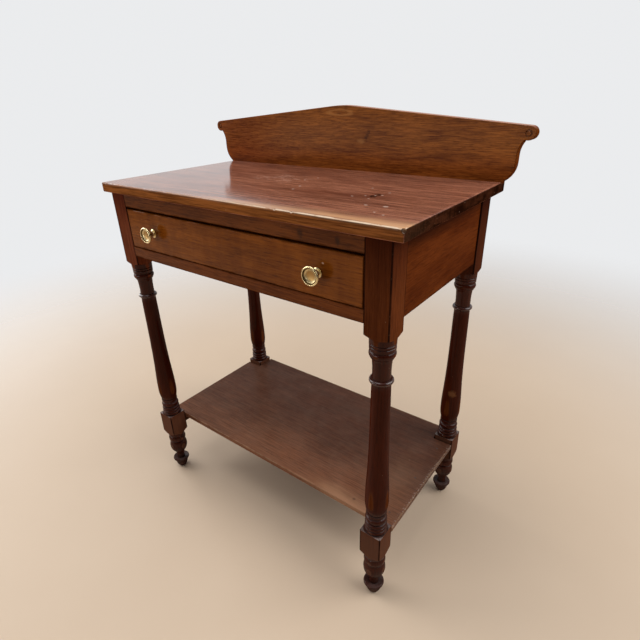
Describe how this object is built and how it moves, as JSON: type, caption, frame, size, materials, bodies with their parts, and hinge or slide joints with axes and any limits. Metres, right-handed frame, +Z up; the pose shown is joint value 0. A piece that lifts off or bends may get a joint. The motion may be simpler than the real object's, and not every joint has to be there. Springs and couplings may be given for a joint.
{
  "type": "washstand",
  "caption": "Wooden washstand with a gabled, scroll-eared backsplash, a shallow drawer with brass knobs, turned legs and a low open shelf.",
  "frame": {"origin": "on the floor under the middle of the box that encloses the closed washstand, knobs included", "axes": "+X to the right of someone facing the drawer, -Y out of the drawer's front, +Z up"},
  "size_m": [0.744, 0.38, 0.842],
  "materials": {
    "top_wood": "old varnish",
    "backsplash_wood": "old varnish",
    "leg_wood": "old varnish",
    "front_rail_wood": "old varnish",
    "side_apron_wood": "old varnish",
    "back_apron_wood": "old varnish",
    "drawer_front_wood": "old varnish",
    "shelf_wood": "old varnish",
    "bearer_wood": "old varnish",
    "inner_wood_lengthwise": "bare, aged",
    "inner_wood_crosswise": "bare, aged",
    "brass": "polished, lightly tarnished",
    "screw_steel": "dull",
    "nail_iron": "oxidised"
  },
  "bodies": {
    "stand": {"top_board": "top_wood", "backsplash": "backsplash_wood", "leg_front_left": "leg_wood", "leg_front_right": "leg_wood", "leg_back_left": "leg_wood", "leg_back_right": "leg_wood", "upper_front_rail": "front_rail_wood", "lower_front_rail": "front_rail_wood", "side_apron_left": "side_apron_wood", "side_apron_right": "side_apron_wood", "back_apron": "back_apron_wood", "drawer_runner_left": "inner_wood_lengthwise", "drawer_runner_right": "inner_wood_lengthwise", "drawer_guide_left": "inner_wood_lengthwise", "drawer_guide_right": "inner_wood_lengthwise", "drawer_kicker_left": "inner_wood_lengthwise", "drawer_kicker_right": "inner_wood_lengthwise", "drawer_stops": "inner_wood_crosswise", "glue_blocks": "inner_wood_crosswise", "top_screws": "screw_steel", "backsplash_screws": "screw_steel", "runner_nails": "nail_iron", "shelf": "shelf_wood", "shelf_bearer_left": "bearer_wood", "shelf_bearer_right": "bearer_wood", "shelf_nails": "nail_iron"},
    "drawer": {"drawer_front": "drawer_front_wood", "drawer_side_left": "inner_wood_lengthwise", "drawer_side_right": "inner_wood_lengthwise", "drawer_back": "inner_wood_crosswise", "drawer_bottom": "inner_wood_crosswise", "drawer_bottom_nails": "nail_iron", "knob_left": "brass", "knob_right": "brass", "knob_screws": "screw_steel"}
  },
  "joints": [
    {"name": "drawer_slide", "type": "slide", "parent": "stand", "child": "drawer", "axis": [0, -1, 0], "range_m": [0, 0.235]}
  ]
}
